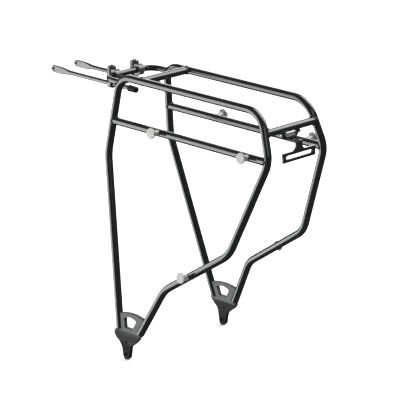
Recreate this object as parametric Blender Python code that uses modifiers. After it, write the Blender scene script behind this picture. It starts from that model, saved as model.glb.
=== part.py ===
"""Rear bicycle rack: two bent side loops, rails and cross tubes, cast feet, studs, and two adjustable stays.

Metres, Z up.  +X points to the rear of the bicycle, +Y to its right, and the origin is midway between
the two foot bolt holes.  Each side loop lies in a flat plane that leans outwards towards the foot.
"""

import math

import bmesh
import bpy
from mathutils import Matrix, Vector

# ---- fit -------------------------------------------------------------------------------------
GAP = 0.0003  # between two pieces that touch
ROUND_SIDES = 24  # sides of a turned piece
BROAD_SIDES = 32  # sides of a broad round piece
CUT_REACH = 0.030  # how far a cutter runs past the piece that it cuts

# ---- side loops ------------------------------------------------------------------------------
TUBE_RADIUS = 0.005
TOP_HEIGHT = 0.349  # centre of the top rails above the foot bolts
TOP_HALF_WIDTH = 0.0415  # mid-plane to the centre of a top rail
LEAN = 0.1435  # outward travel of a side plane for each metre down
RAIL_HEIGHT = 0.2918  # centre of the side rails

FRONT_FOOT = (-0.0147, 0.0312)  # loop corners as (x, z), from the front foot round to the rear foot
FRONT_KNEE = (-0.0663, 0.2490)
TOP_FRONT_X = -0.0583
TOP_REAR_X = 0.1882
ELBOW = (0.2089, 0.2917)
LOWER_BEND = (0.1605, 0.1674)
TOE_BEND = (0.0573, 0.0984)
REAR_FOOT = (0.0225, 0.0323)
KNEE_BEND_RADIUS = 0.060
TOP_FRONT_BEND_RADIUS = 0.022
TOP_REAR_BEND_RADIUS = 0.032
ELBOW_BEND_RADIUS = 0.035
LOWER_BEND_RADIUS = 0.040

# ---- cross tubes and front hoop --------------------------------------------------------------
FRONT_CROSSBAR_X = -0.0205
REAR_CROSSBAR_HEIGHT = 0.3243
HOOP_RADIUS = 0.004
HOOP_FRONT_X = -0.0893
HOOP_DROP = 0.0077  # hoop centre below the top rail centre
HOOP_BEND_RADIUS = 0.020

# ---- pannier studs ---------------------------------------------------------------------------
STUD_RAIL_X = (0.0215, 0.1765)
STUD_LEG_X = 0.0975
STUD_HEAD_RADIUS = 0.0070
STUD_HEAD_THICKNESS = 0.0022
STUD_NECK_RADIUS = 0.0040
STUD_REACH = 0.0166  # outer face from the centre of the tube
STUD_CHAMFER = 0.0006

# ---- foot castings ---------------------------------------------------------------------------
FOOT_TAB_RADIUS = 0.0058
FOOT_TAB_CENTRE = -0.0012  # centre of the tab's round end
FOOT_TAB_TOP = 0.0070  # even thickness below this height
FOOT_SWELL_TOP = 0.0190  # full thickness above this height
FOOT_TAB_HALF_THICKNESS = 0.0027
FOOT_WEB_HALF_THICKNESS = 0.0027
FOOT_LEDGE_PROUD = 0.0004  # the ledge stands this far past the legs, on the outer side only
FOOT_LEDGE_LOW = 0.0268  # it is bevelled between these heights
FOOT_LEDGE_HIGH = 0.0300
FOOT_FOLD_HEIGHT = 0.0215  # the foot is upright below this height and leans above it
FOOT_BOLT_RADIUS = 0.0027
FOOT_EYELET_RADIUS = 0.0016
FOOT_EYELET_X = 0.0034
FOOT_EYELET_HEIGHT = 0.0184
FOOT_FRONT_EDGE = ((-0.0210, 0.0300), (-0.0198, 0.0264), (-0.0162, 0.0216), (-0.0104, 0.0170),
                   (-0.0078, 0.0120))  # shoulder down to the neck as (x, z)
FOOT_REAR_EDGE = ((0.0078, 0.0110), (0.0092, 0.0128), (0.0180, 0.0198), (0.0214, 0.0238),
                  (0.0244, 0.0300))  # neck up to the shoulder
ARCH_HEIGHT = 0.0505  # where the arch leaves the legs
ARCH_RISE = 0.0045
FRONT_STRUT_WIDTH = 0.0065  # web left beside the front leg
REAR_STRUT_WIDTH = 0.0083
WINDOW_FLOOR = 0.0350
WINDOW_TOP = 0.0470  # height of the window's upper corners
WINDOW_RISE = 0.0030

# ---- tail light bracket ----------------------------------------------------------------------
LIGHT_PLATE_X = 0.2120
LIGHT_PLATE_HALF_WIDTH = 0.0290
LIGHT_PLATE_HALF_HEIGHT = 0.0062
LIGHT_PLATE_HEIGHT = 0.2932
LIGHT_PLATE_THICKNESS = 0.0025
LIGHT_SLOT_HALF_WIDTH = 0.0235
LIGHT_SLOT_RADIUS = 0.0022
LIGHT_STEM_HALF_WIDTH = 0.0054
LIGHT_FILLET = 0.0060
LOOP_ROD_RADIUS = 0.0025
LOOP_DROP = 0.0066  # rod centre below the underside of the crossbar
LOOP_HALF_WIDTH = 0.0125
LOOP_SEAT = 0.0008  # depth of the groove in the tab
LOOP_BEND_RADIUS = 0.0055
PIN_RADIUS = 0.0013
PIN_DROP = 0.0025  # pin centre below the underside of the crossbar
PIN_TAIL = 0.0012  # past the outer side of the left leg
PIN_HEAD_RADIUS = 0.0021
PIN_HEAD_LENGTH = 0.0022

# ---- stay clamps -----------------------------------------------------------------------------
CLAMP_Y = 0.0203
CLAMP_RADIUS = 0.0077
CLAMP_WIDTH = 0.0090
BOSS_RADIUS = 0.0060
BOSS_TOP = 0.0105  # above the hoop centre
BOLT_RADIUS = 0.0025
BOLT_BAR_SPACE = 0.0010  # between the bolt and the hoop bar
NUT_ACROSS_FLATS = 0.0080
NUT_HEIGHT = 0.0038
NUT_POCKET_RADIUS = 0.0050
NUT_POCKET_DEPTH = 0.0046
WASHER_THICKNESS = 0.0008
EYE_RADIUS = 0.0056
EYE_THICKNESS = 0.0052

# ---- stays -----------------------------------------------------------------------------------
STAY_RADIUS = 0.0030
STAY_DROP = 0.0129  # stay centre below the hoop centre
STAY_REAR_X = -0.0520
STAY_HOLE_X = -0.2070
PADDLE_HALF_HEIGHT = 0.0050
PADDLE_THICKNESS = 0.0044
PADDLE_LENGTH = 0.0150  # from the hole to the shoulder
PADDLE_TAPER = 0.0180
PADDLE_ROOT_HALF_HEIGHT = 0.0018
PADDLE_HOLE_RADIUS = 0.0026
CAP_RADIUS = 0.0041
CAP_LENGTH = 0.0150
CAP_FLOOR = 0.0028
CAP_DOME = 0.0024

CROSSBAR_UNDERSIDE = REAR_CROSSBAR_HEIGHT - TUBE_RADIUS
LOOP_FLOOR = CROSSBAR_UNDERSIDE - LOOP_DROP
PIN_HEIGHT = CROSSBAR_UNDERSIDE - PIN_DROP
LIGHT_TAB_HEIGHT = LOOP_FLOOR - LOOP_ROD_RADIUS + LOOP_SEAT
HOOP_HEIGHT = TOP_HEIGHT - HOOP_DROP
STAY_HEIGHT = HOOP_HEIGHT - STAY_DROP
BOLT_X = HOOP_FRONT_X - HOOP_RADIUS - BOLT_BAR_SPACE - BOLT_RADIUS
SIDES = (("left", -1.0), ("right", 1.0))


# ---- scene and materials ---------------------------------------------------------------------
def clear_scene():
    """Remove every object that the scene starts with."""
    for obj in list(bpy.data.objects):
        bpy.data.objects.remove(obj)


def make_material(name, colour, roughness, metallic):
    """A Principled material of one colour."""
    material = bpy.data.materials.new(name)
    material.use_nodes = True
    shader = material.node_tree.nodes["Principled BSDF"]
    shader.inputs["Base Color"].default_value = (*colour, 1.0)
    shader.inputs["Roughness"].default_value = roughness
    shader.inputs["Metallic"].default_value = metallic
    return material


def new_collection(name):
    """A collection in the scene."""
    collection = bpy.data.collections.new(name)
    bpy.context.scene.collection.children.link(collection)
    return collection


class Workshop:
    """The collections and materials that the pieces use."""

    def __init__(self):
        self.parts = new_collection("rear_rack")
        self.cutters = new_collection("cutters")
        self.paint = make_material("black_powder_coat", (0.012, 0.012, 0.013), 0.28, 0.0)
        self.casting = make_material("dark_grey_casting", (0.060, 0.060, 0.062), 0.45, 0.6)
        self.steel = make_material("polished_steel", (0.72, 0.72, 0.71), 0.22, 1.0)
        self.clamp = make_material("satin_clamp", (0.16, 0.16, 0.16), 0.38, 0.9)
        self.rubber = make_material("black_rubber", (0.015, 0.015, 0.015), 0.75, 0.0)


# ---- shape helpers ---------------------------------------------------------------------------
def side_y(height):
    """Distance of a side plane from the mid-plane at a height."""
    return TOP_HALF_WIDTH + LEAN * (TOP_HEIGHT - height)


def on_side(side, x, height):
    """A point in the plane of one side loop."""
    return Vector((x, side * side_y(height), height))


def side_normal(side):
    """The outward direction, square to the plane of one side loop."""
    return Vector((0.0, side, LEAN)).normalized()


def rounded_path(corners, radii, steps=7):
    """A polyline through the corners, with an arc of the given radius at each inner one."""
    path = [corners[0]]
    for before, corner, after, radius in zip(corners, corners[1:], corners[2:], radii):
        back = (before - corner).normalized()
        ahead = (after - corner).normalized()
        half_turn = (math.pi - back.angle(ahead)) / 2.0
        centre = corner + (back + ahead).normalized() * (radius / math.cos(half_turn))
        start = (corner + back * (radius * math.tan(half_turn)) - centre).normalized()
        finish = (corner + ahead * (radius * math.tan(half_turn)) - centre).normalized()
        for step in range(steps + 1):
            path.append(centre + start.slerp(finish, step / steps) * radius)
    path.append(corners[-1])
    return path


def height_crossings(path, height):
    """The x of each place where the path crosses a height."""
    found = []
    for low, high in zip(path, path[1:]):
        if (low.z - height) * (high.z - height) < 0.0:
            share = (height - low.z) / (high.z - low.z)
            found.append(low.x + share * (high.x - low.x))
    return found


def height_on_leg(x, start, finish):
    """Height at x on the straight line between two (x, z) corners."""
    return start[1] + (x - start[0]) * (finish[1] - start[1]) / (finish[0] - start[0])


def mesh_object(shop, name, mesh, material, cutter=False):
    """Link a mesh as a part, or as a hidden cutter."""
    obj = bpy.data.objects.new(name, mesh)
    if cutter:
        shop.cutters.objects.link(obj)
        obj.hide_render = True
        obj.display_type = "WIRE"
        return obj
    shop.parts.objects.link(obj)
    mesh.materials.append(material)
    mesh.shade_smooth()
    mesh.set_sharp_from_angle(angle=math.radians(35.0))
    return obj


def curve_to_mesh(curve_object):
    """Turn a curve object into a mesh with welded caps, and remove the curve."""
    bpy.context.view_layer.update()
    graph = bpy.context.evaluated_depsgraph_get()
    mesh = bpy.data.meshes.new_from_object(curve_object.evaluated_get(graph))
    mesh.transform(curve_object.matrix_world)
    bpy.data.objects.remove(curve_object)
    shape = bmesh.new()
    shape.from_mesh(mesh)
    bmesh.ops.remove_doubles(shape, verts=shape.verts, dist=1e-6)
    bmesh.ops.recalc_face_normals(shape, faces=shape.faces)
    shape.to_mesh(mesh)
    shape.free()
    mesh.materials.clear()
    return mesh


def tube_mesh(points, radius, resolution=6):
    """A round bar along a polyline."""
    curve = bpy.data.curves.new("tube", "CURVE")
    curve.dimensions = "3D"
    curve.bevel_depth = radius
    curve.bevel_resolution = resolution
    curve.use_fill_caps = True
    spline = curve.splines.new("POLY")
    spline.points.add(len(points) - 1)
    for spline_point, place in zip(spline.points, points):
        spline_point.co = (*place, 1.0)
    holder = bpy.data.objects.new("tube", curve)
    bpy.context.scene.collection.objects.link(holder)
    return curve_to_mesh(holder)


def plate_mesh(outline, holes, thickness, matrix):
    """A flat plate from closed outlines in its own XY plane, then placed by the matrix."""
    curve = bpy.data.curves.new("plate", "CURVE")
    curve.dimensions = "2D"
    curve.fill_mode = "BOTH"
    curve.extrude = thickness / 2.0
    for ring in (outline, *holes):
        spline = curve.splines.new("POLY")
        spline.points.add(len(ring) - 1)
        for spline_point, place in zip(spline.points, ring):
            spline_point.co = (place[0], place[1], 0.0, 1.0)
        spline.use_cyclic_u = True
    holder = bpy.data.objects.new("plate", curve)
    bpy.context.scene.collection.objects.link(holder)
    holder.matrix_world = matrix
    return curve_to_mesh(holder)


def cylinder_mesh(radius, start, finish, sides=ROUND_SIDES):
    """A round bar between two points."""
    axis = finish - start
    turn = axis.to_track_quat("Z", "Y").to_matrix().to_4x4()
    shape = bmesh.new()
    bmesh.ops.create_cone(shape, cap_ends=True, segments=sides, radius1=radius, radius2=radius,
                          depth=axis.length, matrix=Matrix.Translation((start + finish) / 2.0) @ turn)
    mesh = bpy.data.meshes.new("cylinder")
    shape.to_mesh(mesh)
    shape.free()
    return mesh


def box_mesh(low, high):
    """A box between two corners."""
    shape = bmesh.new()
    size = high - low
    place = Matrix.Translation((low + high) / 2.0) @ Matrix.Diagonal((*size, 1.0))
    bmesh.ops.create_cube(shape, size=1.0, matrix=place)
    mesh = bpy.data.meshes.new("box")
    shape.to_mesh(mesh)
    shape.free()
    return mesh


def turned_object(shop, name, profile, place, axis, material):
    """A turned piece: (radius, distance) points down its outer side, spun about the axis."""
    mesh = bpy.data.meshes.new(name)
    points = [(radius, 0.0, along) for radius, along in profile]
    mesh.from_pydata(points, [(index, index + 1) for index in range(len(points) - 1)], [])
    obj = mesh_object(shop, name, mesh, material)
    screw = obj.modifiers.new("turn", "SCREW")
    screw.axis = "Z"
    screw.steps = ROUND_SIDES
    screw.render_steps = ROUND_SIDES
    screw.use_merge_vertices = True
    screw.merge_threshold = 0.00001
    screw.use_smooth_shade = True
    obj.matrix_world = Matrix.Translation(place) @ axis.to_track_quat("Z", "Y").to_matrix().to_4x4()
    return obj


def cut(obj, cutter, operation="DIFFERENCE"):
    """Add one exact Boolean to an object."""
    boolean = obj.modifiers.new(operation.lower(), "BOOLEAN")
    boolean.operation = operation
    boolean.object = cutter
    boolean.solver = "EXACT"


def arc(centre, radius, start, finish, steps=8):
    """Points on an arc in a plane, angles in degrees."""
    angles = [math.radians(start + (finish - start) * step / steps) for step in range(steps + 1)]
    return [(centre[0] + radius * math.cos(a), centre[1] + radius * math.sin(a)) for a in angles]


def circle(centre, radius, steps=20):
    """A closed ring of points."""
    return arc(centre, radius, 0.0, 360.0, steps)[:-1]


# ---- tubes -----------------------------------------------------------------------------------
def loop_path(side):
    """Centre line of one side loop."""
    corners = (FRONT_FOOT, FRONT_KNEE, (TOP_FRONT_X, TOP_HEIGHT), (TOP_REAR_X, TOP_HEIGHT),
               ELBOW, LOWER_BEND, TOE_BEND, REAR_FOOT)
    radii = (KNEE_BEND_RADIUS, TOP_FRONT_BEND_RADIUS, TOP_REAR_BEND_RADIUS, ELBOW_BEND_RADIUS,
             LOWER_BEND_RADIUS, LOWER_BEND_RADIUS)
    return rounded_path([on_side(side, *corner) for corner in corners], radii)


def add_tube(shop, name, points, radius, cutters=()):
    """A painted tube, notched by the tubes that it meets."""
    tube = mesh_object(shop, name, tube_mesh(points, radius), shop.paint)
    for cutter in cutters:
        cut(tube, cutter)
    return tube


def add_side_loops(shop):
    """Both loops, and a slightly larger cutter of each for the pieces that are notched round it."""
    cutters = {}
    for word, side in SIDES:
        path = loop_path(side)
        add_tube(shop, f"{word}_side_loop", path, TUBE_RADIUS)
        cutters[side] = mesh_object(shop, f"{word}_loop_cutter", tube_mesh(path, TUBE_RADIUS + GAP),
                                    None, cutter=True)
    return cutters


def add_rails(shop, loop_cutters):
    """The side rail that joins the front leg to the elbow on each side."""
    cutters = {}
    for word, side in SIDES:
        crossings = height_crossings(loop_path(side), RAIL_HEIGHT)
        ends = [on_side(side, min(crossings), RAIL_HEIGHT), on_side(side, max(crossings), RAIL_HEIGHT)]
        add_tube(shop, f"{word}_side_rail", ends, TUBE_RADIUS, [loop_cutters[side]])
        cutters[side] = mesh_object(shop, f"{word}_rail_cutter", tube_mesh(ends, TUBE_RADIUS + GAP),
                                    None, cutter=True)
    return cutters


def add_crossbars(shop, loop_cutters):
    """Front crossbar between the top rails, rear crossbar between the rear legs."""
    both = list(loop_cutters.values())
    rear_x = max(height_crossings(loop_path(1.0), REAR_CROSSBAR_HEIGHT))
    for name, x, height in (("front_crossbar", FRONT_CROSSBAR_X, TOP_HEIGHT),
                            ("rear_crossbar", rear_x, REAR_CROSSBAR_HEIGHT)):
        add_tube(shop, name, [on_side(-1.0, x, height), on_side(1.0, x, height)], TUBE_RADIUS, both)
    return rear_x


def add_hoop(shop, loop_cutters):
    """The front hoop, whose legs meet the top front bends of the loops."""
    rear_x = min(height_crossings(loop_path(1.0), HOOP_HEIGHT))
    half = side_y(HOOP_HEIGHT)
    corners = [Vector((rear_x, -half, HOOP_HEIGHT)), Vector((HOOP_FRONT_X, -half, HOOP_HEIGHT)),
               Vector((HOOP_FRONT_X, half, HOOP_HEIGHT)), Vector((rear_x, half, HOOP_HEIGHT))]
    path = rounded_path(corners, (HOOP_BEND_RADIUS, HOOP_BEND_RADIUS), steps=8)
    return add_tube(shop, "front_hoop", path, HOOP_RADIUS, list(loop_cutters.values()))


# ---- studs -----------------------------------------------------------------------------------
def add_studs(shop, loop_cutters, rail_cutters):
    """Two studs on each side rail and one on each lower leg, square to the side plane."""
    leg_height = height_on_leg(STUD_LEG_X, TOE_BEND, LOWER_BEND)
    places = (("front", STUD_RAIL_X[0], RAIL_HEIGHT, rail_cutters),
              ("rear", STUD_RAIL_X[1], RAIL_HEIGHT, rail_cutters),
              ("lower", STUD_LEG_X, leg_height, loop_cutters))
    head = STUD_REACH - STUD_HEAD_THICKNESS
    profile = [(0.0, STUD_REACH), (STUD_HEAD_RADIUS - STUD_CHAMFER, STUD_REACH),
               (STUD_HEAD_RADIUS, STUD_REACH - STUD_CHAMFER), (STUD_HEAD_RADIUS, head + STUD_CHAMFER),
               (STUD_HEAD_RADIUS - STUD_CHAMFER, head), (STUD_NECK_RADIUS, head),
               (STUD_NECK_RADIUS, 0.0), (0.0, 0.0)]
    for word, side in SIDES:
        for label, x, height, cutters in places:
            stud = turned_object(shop, f"{word}_{label}_stud", profile, on_side(side, x, height),
                                 side_normal(side), shop.steel)
            cut(stud, cutters[side])


# ---- feet ------------------------------------------------------------------------------------
def leg_x(start, finish, height):
    """The x at a height on the straight line between two (x, z) corners."""
    return start[0] + (height - start[1]) * (finish[0] - start[0]) / (finish[1] - start[1])


def front_leg_x(height):
    """Centre of the front leg at a height near the foot."""
    return leg_x(FRONT_FOOT, FRONT_KNEE, height)


def rear_leg_x(height):
    """Centre of the rear leg at a height near the foot."""
    return leg_x(REAR_FOOT, TOE_BEND, height)


def bow(start, finish, rise, steps=8):
    """Points from start to finish that bulge upwards like a shallow arch."""
    points = []
    for step in range(steps + 1):
        share = step / steps
        x = start[0] + (finish[0] - start[0]) * share
        z = start[1] + (finish[1] - start[1]) * share
        points.append((x, z + 4.0 * rise * share * (1.0 - share)))
    return points


def foot_outline():
    """Outline of a foot as (x, z): round tab, neck, shoulders and the arch between the legs."""
    front_low = (front_leg_x(FOOT_LEDGE_HIGH), FOOT_LEDGE_HIGH)
    rear_low = (rear_leg_x(FOOT_LEDGE_HIGH), FOOT_LEDGE_HIGH)
    front_high = (front_leg_x(ARCH_HEIGHT), ARCH_HEIGHT)
    rear_high = (rear_leg_x(ARCH_HEIGHT), ARCH_HEIGHT)
    corners = [*arc((0.0, FOOT_TAB_CENTRE), FOOT_TAB_RADIUS, 180.0, 360.0, 14), *FOOT_REAR_EDGE]
    if rear_low[0] > FOOT_REAR_EDGE[-1][0]:
        corners.append(rear_low)
    corners += bow(rear_high, front_high, ARCH_RISE)
    return [*corners, front_low, *FOOT_FRONT_EDGE]


def window_outline():
    """The opening under the arch, with a web left beside each leg."""
    slant = math.hypot(TOE_BEND[0] - REAR_FOOT[0], TOE_BEND[1] - REAR_FOOT[1]) / (TOE_BEND[1] - REAR_FOOT[1])
    front_inset = TUBE_RADIUS + FRONT_STRUT_WIDTH
    rear_inset = (TUBE_RADIUS + REAR_STRUT_WIDTH) * slant
    front_low = (front_leg_x(WINDOW_FLOOR) + front_inset, WINDOW_FLOOR)
    rear_low = (rear_leg_x(WINDOW_FLOOR) - rear_inset, WINDOW_FLOOR)
    front_high = (front_leg_x(WINDOW_TOP) + front_inset, WINDOW_TOP)
    rear_high = (rear_leg_x(WINDOW_TOP) - rear_inset, WINDOW_TOP)
    return [front_low, rear_low, *bow(rear_high, front_high, WINDOW_RISE)]


def face_offset(height, outward):
    """Half thickness at a height: thin tab, ledge on the outer side, then the web of the arch."""
    ledge = TUBE_RADIUS + FOOT_LEDGE_PROUD if outward else FOOT_WEB_HALF_THICKNESS
    steps = ((FOOT_TAB_TOP, FOOT_TAB_HALF_THICKNESS), (FOOT_SWELL_TOP, ledge),
             (FOOT_LEDGE_LOW, ledge), (FOOT_LEDGE_HIGH, FOOT_WEB_HALF_THICKNESS))
    if height <= steps[0][0]:
        return steps[0][1]
    for (low, near), (high, far) in zip(steps, steps[1:]):
        if height <= high:
            return near + (far - near) * (height - low) / (high - low)
    return steps[-1][1]


def foot_mesh(side):
    """A foot casting that leans with its side loop above the tab."""
    holes = (circle((0.0, 0.0), FOOT_BOLT_RADIUS),
             circle((FOOT_EYELET_X, FOOT_EYELET_HEIGHT), FOOT_EYELET_RADIUS, 12),
             window_outline())
    mesh = plate_mesh(foot_outline(), holes, 1.0, Matrix.Rotation(math.radians(90.0), 4, "X"))
    shape = bmesh.new()
    shape.from_mesh(mesh)
    for height in (FOOT_TAB_TOP, FOOT_SWELL_TOP, FOOT_FOLD_HEIGHT, FOOT_LEDGE_LOW, FOOT_LEDGE_HIGH):
        everything = [*shape.verts, *shape.edges, *shape.faces]
        bmesh.ops.bisect_plane(shape, geom=everything, dist=1e-6,
                               plane_co=(0.0, 0.0, height), plane_no=(0.0, 0.0, 1.0))
    for vertex in shape.verts:
        height = vertex.co.z
        outward = vertex.co.y > 0.0
        offset = face_offset(height, outward) * (1.0 if outward else -1.0)
        vertex.co.y = side * (side_y(max(height, FOOT_FOLD_HEIGHT)) + offset)
    bmesh.ops.remove_doubles(shape, verts=shape.verts, dist=1e-5)
    bmesh.ops.dissolve_degenerate(shape, edges=shape.edges, dist=1e-5)
    bmesh.ops.recalc_face_normals(shape, faces=shape.faces)
    shape.to_mesh(mesh)
    shape.free()
    return mesh


def add_feet(shop):
    """Both foot castings, notched round the ends of the legs."""
    for word, side in SIDES:
        path = loop_path(side)
        path[0] = path[0] + (path[0] - path[1]).normalized() * GAP
        path[-1] = path[-1] + (path[-1] - path[-2]).normalized() * GAP
        leg = tube_mesh(path, TUBE_RADIUS + GAP)
        cutter = mesh_object(shop, f"{word}_leg_cutter", leg, None, cutter=True)
        foot = mesh_object(shop, f"{word}_foot", foot_mesh(side), shop.casting)
        cut(foot, cutter)


# ---- tail light bracket ----------------------------------------------------------------------
def light_plate_outline():
    """Slotted cross plate with a filleted stem above it, as (y, z)."""
    top = LIGHT_PLATE_HALF_HEIGHT
    wide = LIGHT_PLATE_HALF_WIDTH
    stem = LIGHT_STEM_HALF_WIDTH
    rise = LIGHT_TAB_HEIGHT - LIGHT_PLATE_HEIGHT
    return [(-wide, -top), (wide, -top), (wide, top),
            *arc((stem + LIGHT_FILLET, top + LIGHT_FILLET), LIGHT_FILLET, 270.0, 180.0, 6),
            (stem, rise), (-stem, rise),
            *arc((-stem - LIGHT_FILLET, top + LIGHT_FILLET), LIGHT_FILLET, 0.0, -90.0, 6),
            (-wide, top)]


def light_slot():
    """The long slot with round ends."""
    reach = LIGHT_SLOT_HALF_WIDTH - LIGHT_SLOT_RADIUS
    return [*arc((reach, 0.0), LIGHT_SLOT_RADIUS, -90.0, 90.0, 8),
            *arc((-reach, 0.0), LIGHT_SLOT_RADIUS, 90.0, 270.0, 8)]


def add_bracket_pin(shop, crossbar_x):
    """The headed pin through both legs of the rod loop. It returns the cutter of its two holes."""
    leg = LOOP_HALF_WIDTH + LOOP_ROD_RADIUS
    tail = Vector((crossbar_x, -leg - PIN_TAIL, PIN_HEIGHT))
    seat = PIN_TAIL + 2.0 * leg + GAP
    profile = [(0.0, seat + PIN_HEAD_LENGTH), (PIN_HEAD_RADIUS, seat + PIN_HEAD_LENGTH),
               (PIN_HEAD_RADIUS, seat), (PIN_RADIUS, seat), (PIN_RADIUS, 0.0), (0.0, 0.0)]
    across = Vector((0.0, 1.0, 0.0))
    turned_object(shop, "tail_bracket_pin", profile, tail, across, shop.steel)
    holes = cylinder_mesh(PIN_RADIUS + GAP, tail - across * PIN_TAIL, tail + across * (seat + PIN_TAIL))
    return mesh_object(shop, "pin_cutter", holes, None, cutter=True)


def add_light_bracket(shop, crossbar_x):
    """The rod loop under the rear crossbar, its pin, and the folded plate that hangs from it."""
    corners = [Vector((crossbar_x, -LOOP_HALF_WIDTH, REAR_CROSSBAR_HEIGHT)),
               Vector((crossbar_x, -LOOP_HALF_WIDTH, LOOP_FLOOR)),
               Vector((crossbar_x, LOOP_HALF_WIDTH, LOOP_FLOOR)),
               Vector((crossbar_x, LOOP_HALF_WIDTH, REAR_CROSSBAR_HEIGHT))]
    path = rounded_path(corners, (LOOP_BEND_RADIUS, LOOP_BEND_RADIUS))
    bar_half = side_y(REAR_CROSSBAR_HEIGHT)
    bar_ends = [Vector((crossbar_x, -bar_half, REAR_CROSSBAR_HEIGHT)),
                Vector((crossbar_x, bar_half, REAR_CROSSBAR_HEIGHT))]
    bar = tube_mesh(bar_ends, TUBE_RADIUS + GAP)
    bar_cutter = mesh_object(shop, "crossbar_cutter", bar, None, cutter=True)
    pin_cutter = add_bracket_pin(shop, crossbar_x)
    add_tube(shop, "tail_bracket_loop", path, LOOP_ROD_RADIUS, [bar_cutter, pin_cutter])

    upright = Matrix(((0, 0, 1, LIGHT_PLATE_X), (1, 0, 0, 0), (0, 1, 0, LIGHT_PLATE_HEIGHT), (0, 0, 0, 1)))
    plate = mesh_object(shop, "tail_light_bracket",
                        plate_mesh(light_plate_outline(), [light_slot()], LIGHT_PLATE_THICKNESS, upright),
                        shop.paint)
    half = LIGHT_PLATE_THICKNESS / 2.0
    tab = box_mesh(Vector((crossbar_x, -LIGHT_STEM_HALF_WIDTH, LIGHT_TAB_HEIGHT - LIGHT_PLATE_THICKNESS)),
                   Vector((LIGHT_PLATE_X + half, LIGHT_STEM_HALF_WIDTH, LIGHT_TAB_HEIGHT)))
    cut(plate, mesh_object(shop, "tail_tab", tab, None, cutter=True), "UNION")
    groove = tube_mesh(path, LOOP_ROD_RADIUS + GAP)
    cut(plate, mesh_object(shop, "tail_loop_cutter", groove, None, cutter=True))


# ---- stay clamps -----------------------------------------------------------------------------
def jaw_cutters(shop, word, middle):
    """The hoop bar and the bolt, each a little larger than the real piece."""
    across = Vector((0.0, CLAMP_WIDTH, 0.0))
    bar = cylinder_mesh(HOOP_RADIUS + GAP, middle - across, middle + across)
    bolt_axis = Vector((BOLT_X, middle.y, HOOP_HEIGHT))
    up = Vector((0.0, 0.0, CUT_REACH))
    bolt = cylinder_mesh(BOLT_RADIUS + GAP, bolt_axis - up, bolt_axis + up)
    floor = Vector((BOLT_X, middle.y, HOOP_HEIGHT + BOSS_TOP - NUT_POCKET_DEPTH))
    pocket = cylinder_mesh(NUT_POCKET_RADIUS, floor, floor + up)
    return [mesh_object(shop, f"{word}_{label}_cutter", mesh, None, cutter=True)
            for label, mesh in (("clamp_bar", bar), ("clamp_bolt", bolt), ("nut_pocket", pocket))]


def add_jaw(shop, word, label, middle, low, high, cutters):
    """One jaw: a ring round the hoop bar joined to the bolt boss, kept between two heights."""
    half = Vector((0.0, CLAMP_WIDTH / 2.0, 0.0))
    jaw = mesh_object(shop, f"{word}_clamp_{label}_jaw",
                      cylinder_mesh(CLAMP_RADIUS, middle - half, middle + half, BROAD_SIDES), shop.clamp)
    boss = cylinder_mesh(BOSS_RADIUS, Vector((BOLT_X, middle.y, STAY_HEIGHT + EYE_RADIUS + GAP)),
                         Vector((BOLT_X, middle.y, HOOP_HEIGHT + BOSS_TOP)), BROAD_SIDES)
    cut(jaw, mesh_object(shop, f"{word}_{label}_boss", boss, None, cutter=True), "UNION")
    reach = Vector((CUT_REACH, CLAMP_WIDTH * 2.0, 0.0))
    keep = box_mesh(middle - reach + Vector((0.0, 0.0, low)), middle + reach + Vector((0.0, 0.0, high)))
    cut(jaw, mesh_object(shop, f"{word}_{label}_keep", keep, None, cutter=True), "INTERSECT")
    for cutter in cutters:
        cut(jaw, cutter)


def add_eye_bolt(shop, word, eye):
    """The eye that carries the stay, with its threaded shank standing up through both jaws."""
    half = Vector((EYE_THICKNESS / 2.0, 0.0, 0.0))
    ring = cylinder_mesh(EYE_RADIUS, eye - half, eye + half, BROAD_SIDES)
    bolt = mesh_object(shop, f"{word}_eye_bolt", ring, shop.steel)
    top = Vector((eye.x, eye.y, HOOP_HEIGHT + BOSS_TOP))
    shank = cylinder_mesh(BOLT_RADIUS, eye + Vector((0.0, 0.0, STAY_RADIUS)), top)
    cut(bolt, mesh_object(shop, f"{word}_shank", shank, None, cutter=True), "UNION")
    hole = cylinder_mesh(STAY_RADIUS + GAP, eye - 2.0 * half, eye + 2.0 * half)
    cut(bolt, mesh_object(shop, f"{word}_eye_hole", hole, None, cutter=True))


def add_washer_and_nut(shop, word, y):
    """The washer and hex nut that sit in the pocket of the upper jaw."""
    floor = HOOP_HEIGHT + BOSS_TOP - NUT_POCKET_DEPTH
    bore = BOLT_RADIUS + GAP
    rim = NUT_POCKET_RADIUS - GAP
    thick = WASHER_THICKNESS
    washer = [(bore, thick), (rim, thick), (rim, 0.0), (bore, 0.0), (bore, thick)]
    turned_object(shop, f"{word}_clamp_washer", washer, Vector((BOLT_X, y, floor + GAP)),
                  Vector((0.0, 0.0, 1.0)), shop.steel)
    seat = Vector((BOLT_X, y, floor + 2.0 * GAP + WASHER_THICKNESS))
    corner = NUT_ACROSS_FLATS / math.sqrt(3.0)
    nut = mesh_object(shop, f"{word}_clamp_nut",
                      cylinder_mesh(corner, seat, seat + Vector((0.0, 0.0, NUT_HEIGHT)), 6), shop.steel)
    through = Vector((0.0, 0.0, NUT_HEIGHT))
    cut(nut, mesh_object(shop, f"{word}_nut_bore", cylinder_mesh(bore, seat - through, seat + 2.0 * through),
                         None, cutter=True))


# ---- stays -----------------------------------------------------------------------------------
def paddle_outline():
    """Flat end of a stay as (x, z) from the hole: round nose, straight edges and a taper to the rod."""
    shoulder = PADDLE_LENGTH
    return [*arc((0.0, 0.0), PADDLE_HALF_HEIGHT, 90.0, 270.0, 12),
            (shoulder, -PADDLE_HALF_HEIGHT), (shoulder + PADDLE_TAPER, -PADDLE_ROOT_HALF_HEIGHT),
            (shoulder + PADDLE_TAPER, PADDLE_ROOT_HALF_HEIGHT), (shoulder, PADDLE_HALF_HEIGHT)]


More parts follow.
